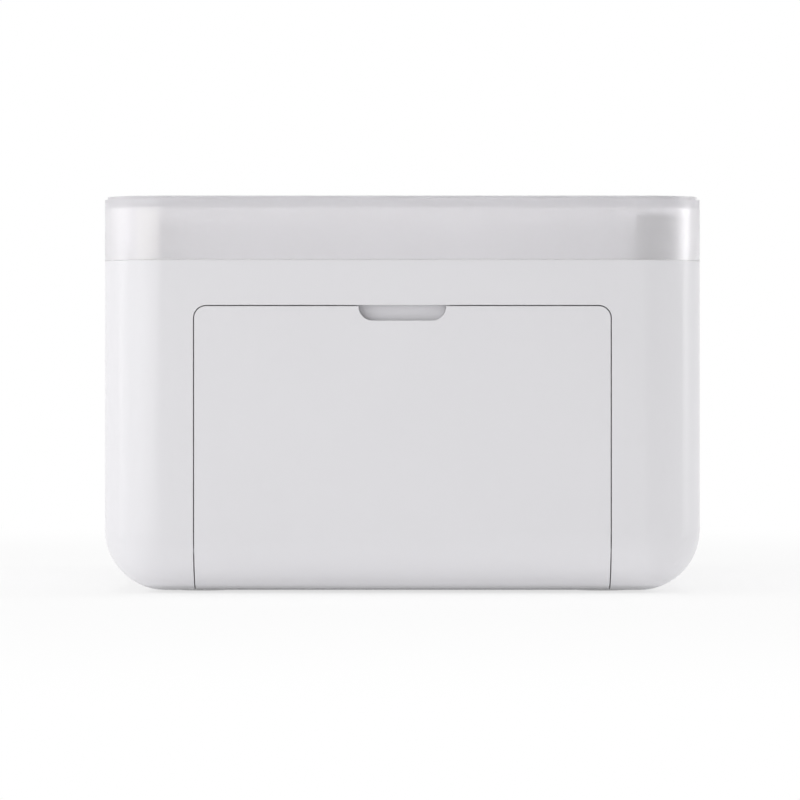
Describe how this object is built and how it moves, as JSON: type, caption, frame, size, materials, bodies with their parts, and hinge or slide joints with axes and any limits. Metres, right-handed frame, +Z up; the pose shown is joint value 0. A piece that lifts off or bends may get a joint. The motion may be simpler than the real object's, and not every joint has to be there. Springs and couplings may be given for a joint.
{
  "type": "photo printer",
  "caption": "Compact dye-sublimation photo printer: white tub with rounded lower edges, frosted hinged lid, hinged cartridge door in the short end, paper slot flap, cassette and roller drive.",
  "frame": {"origin": "middle of the footprint, on the surface the rubber feet stand on", "axes": "+X across the short end, to the right when the cartridge door is faced; +Y from the cartridge door to the far end; +Z up"},
  "size_m": [0.124, 0.1944, 0.0823],
  "materials": {
    "case_white": "satin white moulding with a very fine texture",
    "foot_rubber": "dull rubber",
    "steel": "ground steel",
    "steel_sheet": "zinc-plated sheet",
    "spring_steel": "drawn wire",
    "magnet": "nickel-plated",
    "motor_can": "drawn can",
    "dark_plastic": "dark moulding",
    "grey_plastic": "grey moulding",
    "natural_plastic": "natural acetal",
    "smoke_plastic": "smoked clear plastic",
    "clear_plastic": "clear light guide",
    "frosted_lid": "frosted translucent white plastic",
    "circuit_board": "solder mask",
    "paper": "coated photo paper",
    "ribbon_gold": "coated film",
    "ribbon_used": "used coated film",
    "aluminium": "extruded",
    "ceramic": "glazed ceramic strip",
    "brass": "turned",
    "roller_rubber": "ground rubber"
  },
  "bodies": {
    "printer_body": {"outer_housing": "case_white", "top_deck": "case_white", "rubber_feet": "foot_rubber", "case_screws": "steel", "bay_frame": "case_white", "door_magnets": "magnet", "lid_catch": "dark_plastic", "lid_bumper": "natural_plastic", "chassis_pan": "steel_sheet", "front_side_plate": "steel_sheet", "gear_side_plate": "steel_sheet", "chassis_rods": "steel", "motor_plate": "steel_sheet", "roller_bushes": "natural_plastic", "paper_guide": "dark_plastic", "main_motor": "motor_can", "cam_motor": "motor_can", "main_board": "circuit_board", "dc_jack": "dark_plastic", "power_switch": "dark_plastic", "light_guide": "clear_plastic", "arm_shaft": "steel", "head_springs": "spring_steel"},
    "door": {"cartridge_door": "case_white", "door_hinge_pins": "steel", "door_strikes": "steel"},
    "slot_flap": {"slot_flap": "case_white", "slot_flap_pins": "steel"},
    "runout_flap": {"runout_flap": "case_white"},
    "lid": {"top_lid": "frosted_lid", "lid_hinge_pins": "steel", "lid_strike": "steel"},
    "cassette": {"cassette_tray": "grey_plastic", "cassette_cover": "smoke_plastic"},
    "lift_plate": {"lift_plate": "steel_sheet", "paper_stack": "paper"},
    "cartridge": {"cartridge_shell": "dark_plastic", "ribbon_film": "ribbon_gold"},
    "supply_spool": {"supply_spool": "ribbon_gold"},
    "takeup_spool": {"takeup_spool": "ribbon_used"},
    "supply_spindle": {"supply_spindle": "natural_plastic"},
    "takeup_spindle": {"takeup_spindle": "natural_plastic"},
    "head_arm": {"head_arm": "steel_sheet", "heat_sink": "aluminium", "thermal_head": "ceramic"},
    "cam_shaft": {"cam_shaft": "steel", "cam_gear": "natural_plastic"},
    "cam_pinion": {"cam_pinion": "brass"},
    "platen": {"platen_roller": "roller_rubber", "platen_gear": "natural_plastic"},
    "capstan": {"capstan_roller": "steel", "capstan_gear": "natural_plastic"},
    "pinch_roller": {"pinch_roller": "grey_plastic"},
    "pickup": {"pickup_roller": "roller_rubber", "pickup_gear": "natural_plastic"},
    "feed_idler": {"feed_idler": "natural_plastic"},
    "pickup_idler": {"pickup_idler": "natural_plastic"},
    "compound_gear": {"compound_gear": "natural_plastic"},
    "motor_pinion": {"motor_pinion": "brass"},
    "power_button": {"power_button": "case_white"}
  },
  "joints": [
    {"name": "door_hinge", "type": "hinge", "parent": "printer_body", "child": "door", "pos_m": [0, -0.0935, 0.009], "axis": [1, 0, 0], "range_deg": [0, 90]},
    {"name": "cartridge_slide", "type": "slide", "parent": "printer_body", "child": "cartridge", "axis": [0, -1, 0], "range_m": [0, 0.0201]},
    {"name": "slot_flap_hinge", "type": "hinge", "parent": "printer_body", "child": "slot_flap", "pos_m": [-0.0568, -0.02265, 0.0052], "axis": [0, -1, 0], "range_deg": [0, 85]},
    {"name": "runout_flap_hinge", "type": "hinge", "parent": "printer_body", "child": "runout_flap", "pos_m": [0.0604, -0.02265, 0.0291], "axis": [0, -1, 0], "range_deg": [0, 60]},
    {"name": "lid_hinge", "type": "hinge", "parent": "printer_body", "child": "lid", "pos_m": [0, 0.09505, 0.07165], "axis": [-1, 0, 0], "range_deg": [0, 95]},
    {"name": "cassette_lift", "type": "slide", "parent": "printer_body", "child": "cassette", "axis": [0, 0, 1], "range_m": [0, 0.0121]},
    {"name": "lift_plate_hinge", "type": "hinge", "parent": "cassette", "child": "lift_plate", "pos_m": [0, 0.0788, 0.0677], "axis": [-1, 0, 0], "range_deg": [0, 2.4]},
    {"name": "head_arm_pivot", "type": "hinge", "parent": "printer_body", "child": "head_arm", "pos_m": [0.046, -0.02265, 0.0515], "axis": [0, -1, 0], "range_deg": [0, 4.74]},
    {"name": "cam_spin", "type": "hinge", "parent": "printer_body", "child": "cam_shaft", "pos_m": [0.05053, 0, 0.0375], "axis": [0, 1, 0], "range_deg": [0, 180]},
    {"name": "cam_pinion_spin", "type": "hinge", "parent": "printer_body", "child": "cam_pinion", "pos_m": [0.05053, 0, 0.0489], "axis": [0, 1, 0], "range_deg": [-392, 0]},
    {"name": "platen_spin", "type": "hinge", "parent": "printer_body", "child": "platen", "pos_m": [0, 0, 0.0198], "axis": [0, 1, 0], "continuous": true},
    {"name": "feed_idler_spin", "type": "hinge", "parent": "printer_body", "child": "feed_idler", "pos_m": [0.01787, 0, 0.01541], "axis": [0, 1, 0], "continuous": true},
    {"name": "capstan_spin", "type": "hinge", "parent": "printer_body", "child": "capstan", "pos_m": [0.038, 0, 0.0187], "axis": [0, 1, 0], "continuous": true},
    {"name": "pinch_spin", "type": "hinge", "parent": "printer_body", "child": "pinch_roller", "pos_m": [0.038, 0, 0.0292], "axis": [0, 1, 0], "continuous": true},
    {"name": "takeup_spindle_spin", "type": "hinge", "parent": "printer_body", "child": "takeup_spindle", "pos_m": [0.024, 0, 0.04013], "axis": [0, 1, 0], "continuous": true},
    {"name": "supply_spindle_spin", "type": "hinge", "parent": "printer_body", "child": "supply_spindle", "pos_m": [-0.024, 0, 0.04013], "axis": [0, 1, 0], "continuous": true},
    {"name": "takeup_spool_spin", "type": "hinge", "parent": "cartridge", "child": "takeup_spool", "pos_m": [0.024, 0, 0.04013], "axis": [0, 1, 0], "continuous": true},
    {"name": "supply_spool_spin", "type": "hinge", "parent": "cartridge", "child": "supply_spool", "pos_m": [-0.024, 0, 0.04013], "axis": [0, 1, 0], "continuous": true},
    {"name": "pickup_idler_spin", "type": "hinge", "parent": "printer_body", "child": "pickup_idler", "pos_m": [-0.01948, 0, 0.01764], "axis": [0, 1, 0], "continuous": true},
    {"name": "pickup_spin", "type": "hinge", "parent": "printer_body", "child": "pickup", "pos_m": [-0.038, 0, 0.0227], "axis": [0, 1, 0], "continuous": true},
    {"name": "compound_spin", "type": "hinge", "parent": "printer_body", "child": "compound_gear", "pos_m": [-0.00534, 0, 0.03446], "axis": [0, 1, 0], "continuous": true},
    {"name": "motor_pinion_spin", "type": "hinge", "parent": "printer_body", "child": "motor_pinion", "pos_m": [-0.02004, 0, 0.0468], "axis": [0, 1, 0], "continuous": true},
    {"name": "button_press", "type": "slide", "parent": "printer_body", "child": "power_button", "axis": [1, 0, 0], "range_m": [0, 0.0006], "stiffness_N_per_m": 1500, "springref_m": -0.0004}
  ],
  "couplings": [
    {"joint": "cartridge_slide", "follows": "door_hinge", "m_per_rad": 0.012732},
    {"joint": "cassette_lift", "follows": "lid_hinge", "m_per_rad": 0.0072374},
    {"joint": "head_arm_pivot", "follows": "cam_spin", "ratio": 0.026324},
    {"joint": "cam_pinion_spin", "follows": "cam_spin", "ratio": -2.1667},
    {"joint": "feed_idler_spin", "follows": "platen_spin", "ratio": -1.1905},
    {"joint": "capstan_spin", "follows": "platen_spin", "ratio": 0.83333},
    {"joint": "pinch_spin", "follows": "platen_spin", "ratio": -1.5714},
    {"joint": "takeup_spindle_spin", "follows": "platen_spin", "ratio": -0.73529},
    {"joint": "takeup_spool_spin", "follows": "platen_spin", "ratio": -0.73529},
    {"joint": "supply_spindle_spin", "follows": "platen_spin", "ratio": -0.63971},
    {"joint": "supply_spool_spin", "follows": "platen_spin", "ratio": -0.63971},
    {"joint": "pickup_idler_spin", "follows": "platen_spin", "ratio": -1.0417},
    {"joint": "pickup_spin", "follows": "platen_spin", "ratio": 1.0417},
    {"joint": "compound_spin", "follows": "platen_spin", "ratio": -1.7857},
    {"joint": "motor_pinion_spin", "follows": "platen_spin", "ratio": 5.3571}
  ]
}
